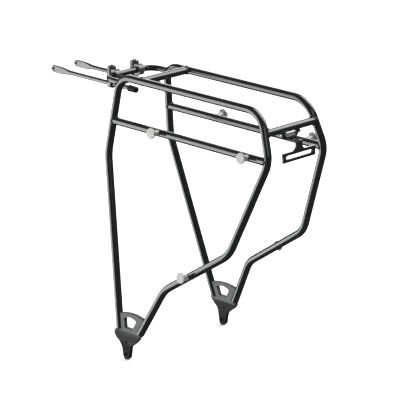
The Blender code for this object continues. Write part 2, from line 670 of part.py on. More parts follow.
def add_stay(shop, word, y):
    """A round rod whose front end is pressed flat and drilled."""
    nose = Vector((STAY_HOLE_X, y, STAY_HEIGHT))
    rod_front = nose + Vector((PADDLE_LENGTH, 0.0, 0.0))
    rod_rear = Vector((STAY_REAR_X, y, STAY_HEIGHT))
    stay = mesh_object(shop, f"{word}_stay", cylinder_mesh(STAY_RADIUS, rod_front, rod_rear), shop.paint)
    flat = Matrix.Translation(nose) @ Matrix.Rotation(math.radians(90.0), 4, "X")
    paddle = plate_mesh(paddle_outline(), [circle((0.0, 0.0), PADDLE_HOLE_RADIUS)], PADDLE_THICKNESS, flat)
    cut(stay, mesh_object(shop, f"{word}_paddle", paddle, None, cutter=True), "UNION")


def add_stay_cap(shop, word, y):
    """The rubber cap pushed onto the rear end of a stay."""
    bore = STAY_RADIUS + GAP
    front = STAY_REAR_X - (CAP_LENGTH - CAP_FLOOR - GAP)
    dome = [(CAP_RADIUS * math.sin(math.radians(angle)),
             CAP_LENGTH - CAP_DOME * (1.0 - math.cos(math.radians(angle))))
            for angle in range(0, 91, 15)]
    depth = CAP_LENGTH - CAP_FLOOR
    profile = [*dome, (CAP_RADIUS, 0.0), (bore, 0.0), (bore, depth), (0.0, depth)]
    turned_object(shop, f"{word}_stay_cap", profile, Vector((front, y, STAY_HEIGHT)),
                  Vector((1.0, 0.0, 0.0)), shop.rubber)


def add_clamps_and_stays(shop):
    """For each side: two jaws on the hoop bar, an eye bolt with washer and nut, a stay and its cap."""
    for word, side in SIDES:
        y = side * CLAMP_Y
        middle = Vector((HOOP_FRONT_X, y, HOOP_HEIGHT))
        cutters = jaw_cutters(shop, word, middle)
        add_jaw(shop, word, "upper", middle, GAP, BOSS_TOP + CLAMP_RADIUS, cutters)
        add_jaw(shop, word, "lower", middle, -(BOSS_TOP + CLAMP_RADIUS + STAY_DROP), -GAP, cutters[:2])
        add_eye_bolt(shop, word, Vector((BOLT_X, y, STAY_HEIGHT)))
        add_washer_and_nut(shop, word, y)
        add_stay(shop, word, y)
        add_stay_cap(shop, word, y)


def main():
    """Build the whole rack."""
    clear_scene()
    shop = Workshop()
    loop_cutters = add_side_loops(shop)
    rail_cutters = add_rails(shop, loop_cutters)
    crossbar_x = add_crossbars(shop, loop_cutters)
    add_hoop(shop, loop_cutters)
    add_studs(shop, loop_cutters, rail_cutters)
    add_feet(shop)
    add_light_bracket(shop, crossbar_x)
    add_clamps_and_stays(shop)


if __name__ == "__main__":
    main()
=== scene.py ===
"""Rear bicycle rack: finishes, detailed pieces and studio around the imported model.

Metres, Z up.  +X points to the rear of the bicycle, +Y to its right, and the origin is midway between
the two foot bolt holes.
"""

from __future__ import annotations

import logging
import math
from dataclasses import dataclass
from enum import Enum
from typing import Any, Iterable, Sequence

import bmesh
import bpy
from mathutils import Matrix, Vector

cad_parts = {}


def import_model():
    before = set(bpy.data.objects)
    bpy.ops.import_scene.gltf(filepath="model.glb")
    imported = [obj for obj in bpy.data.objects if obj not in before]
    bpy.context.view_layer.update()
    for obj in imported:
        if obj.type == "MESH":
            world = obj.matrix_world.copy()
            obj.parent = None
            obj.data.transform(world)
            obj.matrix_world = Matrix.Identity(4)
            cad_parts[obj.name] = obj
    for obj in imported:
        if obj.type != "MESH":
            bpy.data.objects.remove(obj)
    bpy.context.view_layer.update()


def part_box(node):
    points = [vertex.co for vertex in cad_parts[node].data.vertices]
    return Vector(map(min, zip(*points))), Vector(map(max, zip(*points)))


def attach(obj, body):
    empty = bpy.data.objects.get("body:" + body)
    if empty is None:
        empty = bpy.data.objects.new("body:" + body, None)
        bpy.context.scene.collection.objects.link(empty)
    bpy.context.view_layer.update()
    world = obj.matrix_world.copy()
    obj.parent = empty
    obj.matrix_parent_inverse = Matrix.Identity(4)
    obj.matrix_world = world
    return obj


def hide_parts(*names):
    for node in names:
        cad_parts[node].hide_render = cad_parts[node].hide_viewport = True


LOG = logging.getLogger("rear_rack")
FULL_TURN = 2.0 * math.pi


class Side(Enum):
    """A side of the bicycle; the value is the sign of Y."""

    LEFT = -1.0
    RIGHT = 1.0

    @property
    def word(self) -> str:
        """The side's name, as node names start with it."""
        return self.name.lower()


# ---- shader expressions ----------------------------------------------------------------------
class Signal:
    """A number that varies over a surface; Python operators on it add Math nodes."""

    def __init__(self, sheet: NodeSheet, socket: bpy.types.NodeSocket) -> None:
        """Wrap one output socket of a sheet."""
        self.sheet = sheet
        self.socket = socket

    def _math(self, operation: str, *values: Signal | float, clamp: bool = False) -> Signal:
        """Add one Math node.

        Args:
            operation: Blender's name of the operation.
            values: the operands in order.
            clamp: keep the result between 0 and 1.

        Returns:
            The node's result.
        """
        settings = {"operation": operation, "use_clamp": clamp}
        return self.sheet.add("ShaderNodeMath", settings, dict(enumerate(values))).signal()

    def __add__(self, other: Signal | float) -> Signal:
        """Sum."""
        return self._math("ADD", self, other)

    __radd__ = __add__

    def __sub__(self, other: Signal | float) -> Signal:
        """Difference."""
        return self._math("SUBTRACT", self, other)

    def __rsub__(self, other: Signal | float) -> Signal:
        """Difference with the number first."""
        return self._math("SUBTRACT", other, self)

    def __mul__(self, other: Signal | float) -> Signal:
        """Product."""
        return self._math("MULTIPLY", self, other)

    __rmul__ = __mul__

    def __truediv__(self, other: Signal | float) -> Signal:
        """Quotient."""
        return self._math("DIVIDE", self, other)

    def sine(self) -> Signal:
        """Sine of an angle in radians."""
        return self._math("SINE", self)

    def band(self, low: float, high: float) -> Signal:
        """0 below low, 1 above high and a straight ramp between."""
        return self._math("MULTIPLY", self - low, 1.0 / (high - low), clamp=True)


class Added:
    """A node just added to a sheet."""

    def __init__(self, sheet: NodeSheet, node: bpy.types.Node) -> None:
        """Remember the node and its sheet."""
        self.sheet = sheet
        self.node = node

    def signal(self, output: str | int = 0) -> Signal:
        """An output of the node, as a number for expressions."""
        return Signal(self.sheet, self.node.outputs[output])

    def out(self, output: str | int = 0) -> bpy.types.NodeSocket:
        """An output socket of the node."""
        return self.node.outputs[output]


class NodeSheet:
    """One node tree, with a single method that adds any node."""

    def __init__(self, tree: bpy.types.NodeTree) -> None:
        """Start from a tree."""
        self.tree = tree

    def add(self, kind: str, settings: dict[str, Any] | None = None,
            inputs: dict[str | int, Any] | None = None) -> Added:
        """Add a node.

        Args:
            kind: the node's type.
            settings: its settings, set first.
            inputs: a value, socket or Signal for each input, by name or index.

        Returns:
            The node that was added.
        """
        node = self.tree.nodes.new(kind)
        for name, value in (settings or {}).items():
            setattr(node, name, value)
        for name, value in (inputs or {}).items():
            socket = value.socket if isinstance(value, Signal) else value
            if isinstance(socket, bpy.types.NodeSocket):
                self.tree.links.new(socket, node.inputs[name])
            else:
                node.inputs[name].default_value = socket
        return Added(self, node)

    def noise(self, where: bpy.types.NodeSocket, pitch: float, detail: float = 2.0) -> Signal:
        """Noise whose features are about pitch metres across."""
        inputs = {"Vector": where, "Scale": 1.0 / pitch, "Detail": detail}
        return self.add("ShaderNodeTexNoise", None, inputs).signal("Fac")

    def tint(self, amount: Signal, start: Sequence[float], finish: Sequence[float]) -> bpy.types.NodeSocket:
        """A colour that goes from start to finish as amount goes from 0 to 1."""
        inputs = {"Factor": amount, 6: (*start, 1.0), 7: (*finish, 1.0)}
        return self.add("ShaderNodeMix", {"data_type": "RGBA"}, inputs).out(2)

    def relief(self, height: Signal, depth: float, strength: float = 1.0) -> bpy.types.NodeSocket:
        """A normal for a surface whose relief is depth metres from lowest to highest."""
        inputs = {"Height": height, "Distance": depth, "Strength": strength}
        return self.add("ShaderNodeBump", None, inputs).out()


# ---- finishes --------------------------------------------------------------------------------
@dataclass(frozen=True)
class Finish:
    """A surface finish: the record's slot, a colour and how rough it is."""

    slot: str
    colour: tuple[float, float, float]
    roughness: float
    metallic: float = 0.0
    specular: float = 0.5

    def material(self) -> bpy.types.Material:
        """The Blender material, made once."""
        name = f"{self.slot}_{type(self).__name__}"
        found = bpy.data.materials.get(name)
        return found or self._build(name)

    def _build(self, name: str) -> bpy.types.Material:
        """Make the material.

        Args:
            name: the material's name.

        Returns:
            The new material.
        """
        material = bpy.data.materials.new(name)
        material.use_nodes = True
        material.diffuse_color = (*self.colour, 1.0)
        sheet = NodeSheet(material.node_tree)
        shader = material.node_tree.nodes["Principled BSDF"]
        shader.inputs["Base Color"].default_value = (*self.colour, 1.0)
        shader.inputs["Roughness"].default_value = self.roughness
        shader.inputs["Metallic"].default_value = self.metallic
        shader.inputs["Specular IOR Level"].default_value = self.specular
        where = sheet.add("ShaderNodeTexCoord").out("Object")
        for socket, value in self.dress(sheet, where).items():
            link_from = value.socket if isinstance(value, Signal) else value
            material.node_tree.links.new(link_from, shader.inputs[socket])
        return material

    def dress(self, sheet: NodeSheet, where: bpy.types.NodeSocket) -> dict[str, Any]:
        """What varies over the surface, by shader input; a plain finish has nothing."""
        return {}


@dataclass(frozen=True)
class PowderCoat(Finish):
    """Gloss powder coat: orange peel, faint dust on what faces up, and patches a little less glossy."""

    peel_pitch: float = 0.0016
    peel_depth: float = 0.000012
    patch_pitch: float = 0.035
    speck_pitch: float = 0.0007
    dust: float = 0.018
    dust_roughness: float = 0.14
    patch_roughness: float = 0.05

    def dress(self, sheet: NodeSheet, where: bpy.types.NodeSocket) -> dict[str, Any]:
        """Colour, roughness and relief of the coat."""
        peel = sheet.noise(where, self.peel_pitch)
        patches = sheet.noise(where, self.patch_pitch, 4.0)
        specks = sheet.noise(where, self.speck_pitch, 1.0).band(0.62, 0.75)
        normal = sheet.add("ShaderNodeNewGeometry").out("Normal")
        split = sheet.add("ShaderNodeSeparateXYZ", None, {0: normal})
        dusty = split.signal("Z").band(0.2, 1.0) * patches.band(0.35, 0.8) * (0.5 + 0.5 * specks)
        lighter = [channel + self.dust for channel in self.colour]
        matt = self.roughness + self.patch_roughness * patches.band(0.3, 0.7) + self.dust_roughness * dusty
        return {"Base Color": sheet.tint(dusty, self.colour, lighter),
                "Roughness": matt,
                "Normal": sheet.relief(peel, self.peel_depth)}


@dataclass(frozen=True)
class CastCoat(Finish):
    """Satin coat on a sand casting: grainy, pitted and paler where the edges have rubbed."""

    grain_pitch: float = 0.0009
    grain_depth: float = 0.00007
    grain_roughness: float = 0.16
    blotch_pitch: float = 0.006
    blotch_share: float = 0.16
    pits_per_metre: float = 520.0
    pit_share: float = 0.5
    rub: float = 0.10

    def dress(self, sheet: NodeSheet, where: bpy.types.NodeSocket) -> dict[str, Any]:
        """Colour, roughness and relief of the casting."""
        grain = sheet.noise(where, self.grain_pitch, 5.0)
        blotches = sheet.noise(where, self.blotch_pitch, 3.0)
        cells = {"Vector": where, "Scale": self.pits_per_metre}
        pits = sheet.add("ShaderNodeTexVoronoi", None, cells).signal("Distance")
        edge = sheet.add("ShaderNodeNewGeometry").signal("Pointiness").band(0.515, 0.58)
        worn = edge * grain.band(0.3, 0.6)
        pale = [channel + self.rub for channel in self.colour]
        mottled = blotches.band(0.3, 0.75) * self.blotch_share + worn
        return {"Base Color": sheet.tint(mottled, self.colour, pale),
                "Roughness": self.roughness + self.grain_roughness * grain.band(0.35, 0.7),
                "Normal": sheet.relief(grain + self.pit_share * pits.band(0.1, 0.5), self.grain_depth)}


@dataclass(frozen=True)
class FootCoat(CastCoat):
    """The foot's coat: dark on the body, with painted shade that darkens the tab and a painted highlight on
    the web above the ledge.
    """

    tab_top: float = 0.0180
    tab_painted_shade_factor: float = 0.25
    ledge_low: float = 0.0268
    ledge_high: float = 0.0284
    ragged_pitch: float = 0.003
    ragged_height: float = 0.0006
    web_painted_highlight: tuple[float, float, float] = (0.105, 0.106, 0.108)

    def dress(self, sheet: NodeSheet, where: bpy.types.NodeSocket) -> dict[str, Any]:
        """The casting's look, with the painted highlight on the web and the painted shade on the tab."""
        looks = super().dress(sheet, where)
        height = sheet.add("ShaderNodeSeparateXYZ", None, {0: where}).signal("Z")
        normal = sheet.add("ShaderNodeNewGeometry").out("Normal")
        across = sheet.add("ShaderNodeSeparateXYZ", None, {0: normal}).signal("Y")
        # Painted highlight: the broad faces that face sideways, above the ledge, get a paler colour that
        # stands in for a reflection of the left strip lamp.
        broad = (across * across).band(0.35, 0.75)
        ragged = height + self.ragged_height * sheet.noise(where, self.ragged_pitch, 3.0)
        pale = broad * ragged.band(self.ledge_low, self.ledge_high)
        # Painted shade: the tab fades towards the bottom to a quarter of the body's colour, which stands in
        # for the dark surroundings that its faces reflect.
        tab_painted_shade_colour = tuple(channel * self.tab_painted_shade_factor for channel in self.colour)
        painted_shade_fade = {"Factor": height.band(0.0, self.tab_top), 6: (*tab_painted_shade_colour, 1.0), 7: looks["Base Color"]}
        body = sheet.add("ShaderNodeMix", {"data_type": "RGBA"}, painted_shade_fade).out(2)
        with_painted_highlight = {"Factor": pale, 6: body, 7: (*self.web_painted_highlight, 1.0)}
        looks["Base Color"] = sheet.add("ShaderNodeMix", {"data_type": "RGBA"}, with_painted_highlight).out(2)
        return looks


@dataclass(frozen=True)
class TurnedSteel(Finish):
    """Bright steel with the fine rings of a lathe tool, read from the piece's own distance from its axis."""

    ring_pitch: float = 0.00042
    ring_depth: float = 0.000012
    ring_roughness: float = 0.05
    smear_pitch: float = 0.004
    smear_shade: float = 0.72
    smear_roughness: float = 0.12

    def dress(self, sheet: NodeSheet, where: bpy.types.NodeSocket) -> dict[str, Any]:
        """Colour, roughness and relief of the turned faces."""
        radius = sheet.add("ShaderNodeAttribute", {"attribute_name": Lathe.ATTRIBUTE}).signal("Fac")
        rings = (radius * (FULL_TURN / self.ring_pitch)).sine()
        smears = sheet.noise(where, self.smear_pitch, 3.0)
        darker = [channel * self.smear_shade for channel in self.colour]
        matt = self.roughness + self.ring_roughness * rings + self.smear_roughness * smears.band(0.4, 0.8)
        return {"Base Color": sheet.tint(smears.band(0.55, 0.85), self.colour, darker),
                "Roughness": matt,
                "Normal": sheet.relief(rings, self.ring_depth)}


@dataclass(frozen=True)
class PlatedSteel(Finish):
    """Dark plated steel with cloudy patches and fine handling scratches."""

    cloud_pitch: float = 0.0025
    cloud_shade: float = 0.6
    cloud_roughness: float = 0.18
    scratches_per_metre: tuple[float, float, float] = (4000.0, 350.0, 350.0)
    scratch_depth: float = 0.00001

    def dress(self, sheet: NodeSheet, where: bpy.types.NodeSocket) -> dict[str, Any]:
        """Colour, roughness and relief of the plating."""
        clouds = sheet.noise(where, self.cloud_pitch, 4.0)
        stretch = {"Vector": where, "Scale": self.scratches_per_metre}
        along = sheet.add("ShaderNodeMapping", None, stretch).out()
        scratches = sheet.add("ShaderNodeTexNoise", None, {"Vector": along, "Scale": 1.0}).signal("Fac")
        darker = [channel * self.cloud_shade for channel in self.colour]
        return {"Base Color": sheet.tint(clouds.band(0.35, 0.7), self.colour, darker),
                "Roughness": self.roughness + self.cloud_roughness * clouds.band(0.3, 0.7),
                "Normal": sheet.relief(scratches, self.scratch_depth)}


@dataclass(frozen=True)
class MouldedRubber(Finish):
    """Matt rubber: fine eroded grain with a faint bloom."""

    grain_pitch: float = 0.0005
    grain_depth: float = 0.00005
    bloom_pitch: float = 0.004
    bloom_tint: float = 0.008
    bloom_gloss: float = 0.15

    def dress(self, sheet: NodeSheet, where: bpy.types.NodeSocket) -> dict[str, Any]:
        """Colour, roughness and relief of the rubber."""
        grain = sheet.noise(where, self.grain_pitch, 3.0)
        bloom = sheet.noise(where, self.bloom_pitch, 2.0).band(0.5, 0.8)
        pale = [channel + self.bloom_tint for channel in self.colour]
        return {"Base Color": sheet.tint(bloom, self.colour, pale),
                "Roughness": self.roughness - self.bloom_gloss * bloom,
                "Normal": sheet.relief(grain, self.grain_depth)}


TUBE_PAINT = PowderCoat("tube_paint", (0.0065, 0.0068, 0.0075), 0.15, specular=0.85)
STAY_PAINT = PowderCoat("stay_paint", (0.010, 0.010, 0.011), 0.20, specular=0.95, peel_depth=0.000008)
FOOT_CAST = FootCoat("foot_casting", (0.013, 0.0133, 0.0137), 0.46, specular=0.12,
                     grain_depth=0.00004, rub=0.04)
CLAMP_CAST = CastCoat("clamp_steel", (0.014, 0.0141, 0.0143), 0.16, specular=0.80,
                      grain_depth=0.000008, rub=0.05)
STUD_STEEL = TurnedSteel("stud_steel", (0.25, 0.25, 0.247), 0.38, metallic=0.5)
FASTENER_STEEL = PlatedSteel("fastener_steel", (0.17, 0.17, 0.17), 0.30, metallic=0.7)
PIN_STEEL = TurnedSteel("fastener_steel", (0.32, 0.32, 0.316), 0.35, metallic=0.7)
CAP_RUBBER = MouldedRubber("cap_rubber", (0.004, 0.004, 0.004), 0.62, specular=0.25)


# ---- paths -----------------------------------------------------------------------------------
def square_to(direction: Vector) -> tuple[Vector, Vector]:
    """Two unit vectors square to a direction and to each other."""
    helper = Vector((0.0, 0.0, 1.0)) if abs(direction.z) < 0.9 else Vector((1.0, 0.0, 0.0))
    first = direction.cross(helper).normalized()
    return first, direction.cross(first).normalized()


def rounded_path(corners: Sequence[Vector], radii: Sequence[float],
                 step: float = math.radians(3.0)) -> list[Vector]:
    """A centre line through corners, with an arc at each inner corner.

    Args:
        corners: the sharp corners in order.
        radii: the bend radius at each corner but the first and the last.
        step: the turn from one point of an arc to the next.

    Returns:
        The points of the centre line.
    """
    points = [corners[0].copy()]
    for before, corner, after, radius in zip(corners, corners[1:], corners[2:], radii):
        back = (before - corner).normalized()
        ahead = (after - corner).normalized()
        turn = math.pi - back.angle(ahead)
        start = corner + back * radius * math.tan(turn / 2.0)
        middle = corner + (back + ahead).normalized() * radius / math.cos(turn / 2.0)
        spoke = (start - middle).normalized()
        tangent = -back
        count = max(2, math.ceil(turn / step))
        for index in range(count + 1):
            angle = turn * index / count
            points.append(middle + radius * (spoke * math.cos(angle) + tangent * math.sin(angle)))
    points.append(corners[-1].copy())
    return points


def nearest(path: Sequence[Vector], target: Vector) -> tuple[Vector, Vector]:
    """The point of a path nearest to a target, and the path's direction there."""
    best: tuple[float, Vector, Vector] | None = None
    for start, finish in zip(path, path[1:]):
        along = finish - start
        share = min(1.0, max(0.0, (target - start).dot(along) / along.length_squared))
        point = start + along * share
        gap = (target - point).length
        if best is None or gap < best[0]:
            best = (gap, point, along.normalized())
    assert best is not None
    return best[1], best[2]


def saddle(root: Vector, axis: Vector, radius: float, line: tuple[Vector, Vector], reach: float,
           count: int = 48) -> list[Vector]:
    """The ring where a branch meets a round tube.

    Args:
        root: a point on the branch's axis, outside the tube.
        axis: the branch's direction towards the tube.
        radius: the branch's radius.
        line: a point and the direction of the tube's axis.
        reach: the tube's radius.
        count: how many points the ring has.

    Returns:
        The points of the ring.
    """
    first, second = square_to(axis)
    point, direction = line
    flat_axis = axis - direction * axis.dot(direction)
    ring = []
    for index in range(count):
        angle = FULL_TURN * index / count
        start = root + radius * (first * math.cos(angle) + second * math.sin(angle))
        offset = start - point
        flat = offset - direction * offset.dot(direction)
        half = flat.dot(flat_axis)
        inside = half * half - flat_axis.length_squared * (flat.length_squared - reach * reach)
        travel = (-half - math.sqrt(max(0.0, inside))) / flat_axis.length_squared
        ring.append(start + axis * travel)
    return ring


# ---- geometry node trees ---------------------------------------------------------------------
class PathTree:
    """A Geometry Nodes tree that builds on a line of edges, with named sizes."""

    def __init__(self, name: str, finish: Finish, sizes: dict[str, tuple[str, float]]) -> None:
        """Make the tree.

        Args:
            name: the tree's name.
            finish: the finish of what it makes.
            sizes: each named input's socket type and value.
        """
        self.tree = bpy.data.node_groups.new(f"{name}_{finish.slot}", "GeometryNodeTree")
        self.sheet = NodeSheet(self.tree)
        self.finish = finish
        interface = self.tree.interface
        interface.new_socket("Geometry", in_out="INPUT", socket_type="NodeSocketGeometry")
        interface.new_socket("Geometry", in_out="OUTPUT", socket_type="NodeSocketGeometry")
        self.identifiers = {}
        for label, (kind, value) in sizes.items():
            socket = interface.new_socket(label, in_out="INPUT", socket_type=kind)
            socket.default_value = value
            self.identifiers[label] = socket.identifier
        self.source = self.sheet.add("NodeGroupInput")
        self._end(self.build())

    def build(self) -> bpy.types.NodeSocket:
        """Add the nodes; each kind of tree has its own."""
        raise NotImplementedError

    def _end(self, geometry: bpy.types.NodeSocket) -> None:
        """Close the tree with smooth shading, realised instances and the material."""
        smooth = self.sheet.add("GeometryNodeSetShadeSmooth", None, {"Geometry": geometry}).out()
        real = self.sheet.add("GeometryNodeRealizeInstances", None, {"Geometry": smooth}).out()
        dressed = {"Geometry": real, "Material": self.finish.material()}
        final = self.sheet.add("GeometryNodeSetMaterial", None, dressed).out()
        self.sheet.add("NodeGroupOutput", None, {0: final})

    def centre_line(self) -> bpy.types.NodeSocket:
        """The input's edges as a curve."""
        return self.sheet.add("GeometryNodeMeshToCurve", None, {"Mesh": self.source.out("Geometry")}).out()

    def run(self, name: str, points: Sequence[Vector], closed: bool, **sizes: float) -> bpy.types.Object:
        """Build one piece.

        Args:
            name: the piece's name.
            points: the line that it follows.
            closed: join the last point to the first.
            sizes: values of the named inputs, with _ for a space.

        Returns:
            A plain mesh object.
        """
        edges = [(index, index + 1) for index in range(len(points) - 1)]
        if closed:
            edges.append((len(points) - 1, 0))
        line = bpy.data.meshes.new(name)
        line.from_pydata([tuple(point) for point in points], edges, [])
        piece = bpy.data.objects.new(name, line)
        bpy.context.scene.collection.objects.link(piece)
        modifier = piece.modifiers.new("nodes", "NODES")
        modifier.node_group = self.tree
        for label, value in sizes.items():
            modifier[self.identifiers[label.replace("_", " ")]] = value
        return settle(piece)


class TubeTree(PathTree):
    """A round tube along a line."""

    def __init__(self, finish: Finish) -> None:
        """Name the tube's sizes."""
        super().__init__("tube", finish, {"Radius": ("NodeSocketFloat", 0.005),
                                          "Sides": ("NodeSocketInt", 48)})

    def build(self) -> bpy.types.NodeSocket:
        """Sweep a circle along the line and close both ends."""
        circle = {"Resolution": self.source.out("Sides"), "Radius": self.source.out("Radius")}
        profile = self.sheet.add("GeometryNodeCurvePrimitiveCircle", None, circle).out()
        sweep = {"Curve": self.centre_line(), "Profile Curve": profile, "Fill Caps": True}
        return self.sheet.add("GeometryNodeCurveToMesh", None, sweep).out()


class WeldTree(PathTree):
    """A weld bead: a thin ring with overlapping ripples along it."""

    SIDES = 8
    RIPPLE_RINGS = 6
    SMALLEST, LARGEST = 1.02, 1.22

    def __init__(self, finish: Finish) -> None:
        """Name the bead's sizes."""
        super().__init__("weld", finish, {"Pitch": ("NodeSocketFloat", 0.0012),
                                          "Bead": ("NodeSocketFloat", 0.0011),
                                          "Seed": ("NodeSocketInt", 7)})

    def build(self) -> bpy.types.NodeSocket:
        """Lay ripples of slightly different sizes on a ring."""
        ring = self.centre_line()
        core = self.sheet.add("GeometryNodeCurvePrimitiveCircle", None,
                              {"Resolution": self.SIDES, "Radius": self.source.out("Bead")}).out()
        fillet = self.sheet.add("GeometryNodeCurveToMesh", None, {"Curve": ring, "Profile Curve": core}).out()
        spaced = self.sheet.add("GeometryNodeResampleCurve", {"mode": "LENGTH"},
                                {"Curve": ring, "Length": self.source.out("Pitch")}).out()
        ball = {"Segments": self.SIDES, "Rings": self.RIPPLE_RINGS, "Radius": self.source.out("Bead")}
        ripple = self.sheet.add("GeometryNodeMeshUVSphere", None, ball).out()
        sizes = {2: self.SMALLEST, 3: self.LARGEST, "Seed": self.source.out("Seed")}
        swell = self.sheet.add("FunctionNodeRandomValue", {"data_type": "FLOAT"}, sizes).out(1)
        placed = self.sheet.add("GeometryNodeInstanceOnPoints", None,
                                {"Points": spaced, "Instance": ripple, "Scale": swell}).out()
        joined = self.sheet.add("GeometryNodeJoinGeometry")
        for part in (fillet, placed):
            self.sheet.tree.links.new(part, joined.node.inputs[0])
        return joined.out()


class ThreadTree(PathTree):
    """A screw thread shown as close crests along a line."""

    def __init__(self, finish: Finish) -> None:
        """Name the thread's sizes."""
        super().__init__("thread", finish, {"Pitch": ("NodeSocketFloat", 0.0008),
                                            "Radius": ("NodeSocketFloat", 0.0024),
                                            "Root Radius": ("NodeSocketFloat", 0.0019),
                                            "Sides": ("NodeSocketInt", 24)})

    def build(self) -> bpy.types.NodeSocket:
        """Set a crest at each pitch."""
        spaced = self.sheet.add("GeometryNodeResampleCurve", {"mode": "LENGTH"},
                                {"Curve": self.centre_line(), "Length": self.source.out("Pitch")}).out()
        crest = self.sheet.add("GeometryNodeMeshCone", None,
                               {"Vertices": self.source.out("Sides"),
                                "Radius Top": self.source.out("Radius"),
                                "Radius Bottom": self.source.out("Root Radius"),
                                "Depth": self.source.out("Pitch")}).out("Mesh")
        return self.sheet.add("GeometryNodeInstanceOnPoints", None,
                              {"Points": spaced, "Instance": crest}).out()


# ---- mesh tools ------------------------------------------------------------------------------
MERGE_DISTANCE = 2e-6
FLAT_ANGLE = math.radians(1.0)
SOFTENED_ANGLE = math.radians(35.0)
SOFTENED_SHARP = math.radians(50.0)


def settle(piece: bpy.types.Object, sharp: float = math.radians(38.0)) -> bpy.types.Object:
    """Turn a piece's modifiers into plain mesh.

    Args:
        piece: the object, at the origin.
        sharp: edges steeper than this stay sharp.

    Returns:
        The same object with its final mesh.
    """
    graph = bpy.context.evaluated_depsgraph_get()
    mesh = bpy.data.meshes.new_from_object(piece.evaluated_get(graph), depsgraph=graph)
    piece.modifiers.clear()
    piece.data = mesh
    mesh.name = piece.name
    mesh.set_sharp_from_angle(angle=sharp)
    return piece


def new_piece(name: str, shape: bmesh.types.BMesh, finish: Finish) -> bpy.types.Object:
    """An object at the origin from a finished shape, shaded smooth."""
    mesh = bpy.data.meshes.new(name)
    shape.to_mesh(mesh)
    shape.free()
    mesh.shade_smooth()
    mesh.materials.append(finish.material())
    piece = bpy.data.objects.new(name, mesh)
    bpy.context.scene.collection.objects.link(piece)
    return piece


class Lathe:
    """Turns a profile about an axis and keeps each point's distance from it."""

    ATTRIBUTE = "turn_radius"
    SHARP = math.radians(28.0)

    def __init__(self, origin: Vector, axis: Vector, segments: int = 64) -> None:
        """Set up the axis.

        Args:
            origin: the point at height 0.
            axis: the direction of rising height.
            segments: how many steps a turn has.
        """
        self.origin = origin
        self.axis = axis.normalized()
        self.segments = segments

    def turn(self, name: str, profile: Iterable[tuple[float, float]], finish: Finish) -> bpy.types.Object:
        """Turn a profile that starts and ends on the axis.

        Args:
            name: the piece's name.
            profile: (radius, height) from the lowest point round to the highest.
            finish: the piece's finish.

        Returns:
            The turned piece.
        """
        shape = bmesh.new()
        layer = shape.verts.layers.float.new(self.ATTRIBUTE)
        rings = [self._ring(shape, layer, radius, height) for radius, height in profile]
        for low, high in zip(rings, rings[1:]):
            self.skin(shape, low, high)
        bmesh.ops.recalc_face_normals(shape, faces=shape.faces)
        return settle(new_piece(name, shape, finish), self.SHARP)

    def _ring(self, shape: bmesh.types.BMesh, layer: Any, radius: float, height: float) -> list[Any]:
        """One ring of points, or a single point on the axis."""
        first, second = square_to(self.axis)
        count = self.segments if radius > 0.0 else 1
        ring = []
        for index in range(count):
            angle = FULL_TURN * index / self.segments
            spoke = first * math.cos(angle) + second * math.sin(angle)
            vertex = shape.verts.new(self.origin + self.axis * height + spoke * radius)
            vertex[layer] = radius
            ring.append(vertex)
        return ring

    @staticmethod
    def skin(shape: bmesh.types.BMesh, low: list[Any], high: list[Any]) -> None:
        """Faces between two rings; either may be a single point."""
        count = max(len(low), len(high))
        for index in range(count):
            corners = [low[index % len(low)], low[(index + 1) % len(low)],
                       high[(index + 1) % len(high)], high[index % len(high)]]
            shape.faces.new(list(dict.fromkeys(corners)))


def rounded_step(radius: float, height: float, size: float, outward: bool) -> list[tuple[float, float]]:
    """A rounded outer edge of a turned profile.

    Args:
        radius: the radius of the sharp corner.
        height: the height of the sharp corner.
        size: the size of the rounding.
        outward: the profile arrives from the axis; else it leaves for the axis.

    Returns:
        The points of the edge in order of the profile.
    """
    angles = [math.radians(angle) for angle in range(0, 91, 15)]
    if outward:
        return [(radius - size + size * math.sin(a), height + size - size * math.cos(a)) for a in angles]
    return [(radius - size + size * math.cos(a), height - size + size * math.sin(a)) for a in angles]


def softened_copy(node: str, name: str, finish: Finish, edge: float) -> bpy.types.Object:
    """A copy of a CAD solid with its sharp edges rounded.

    Args:
        node: the CAD node's name.
        name: the new piece's name.
        finish: the piece's finish.
        edge: the width of the rounding.

    Returns:
        The new piece, not yet riding on a body.
    """
    shape = bmesh.new()
    shape.from_mesh(bpy.data.objects[node].data)
    bmesh.ops.remove_doubles(shape, verts=shape.verts, dist=MERGE_DISTANCE)
    bmesh.ops.dissolve_limit(shape, angle_limit=FLAT_ANGLE, verts=shape.verts, edges=shape.edges)
    piece = new_piece(name, shape, finish)
    bevel = piece.modifiers.new("edges", "BEVEL")
    bevel.width = edge
    bevel.segments = 3
    bevel.limit_method = "ANGLE"
    bevel.angle_limit = SOFTENED_ANGLE
    bevel.harden_normals = False
    normals = piece.modifiers.new("normals", "WEIGHTED_NORMAL")
    normals.keep_sharp = True
    return settle(piece, SOFTENED_SHARP)


class Fitter:
    """Places finished pieces on their bodies and reports them."""

    @staticmethod
    def fit(piece: bpy.types.Object, body: str, finish: Finish, *nodes: str) -> None:
        """Let a piece ride on a body.

        Args:
            piece: the finished piece.
            body: the body's name.
            finish: the piece's finish; not used.
            nodes: the CAD nodes that it stands for.
        """
        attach(piece, body)
        if nodes:
            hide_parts(*nodes)
        LOG.info("%s on %s, %d faces", piece.name, body, len(piece.data.polygons))


# ---- side frames -----------------------------------------------------------------------------
WELD_SEAT = 0.0001  # how far a bead's ring stands off the tube that it lies on
BRANCH_REACH = 0.02  # how far back a branch's axis is followed to find where it meets a tube


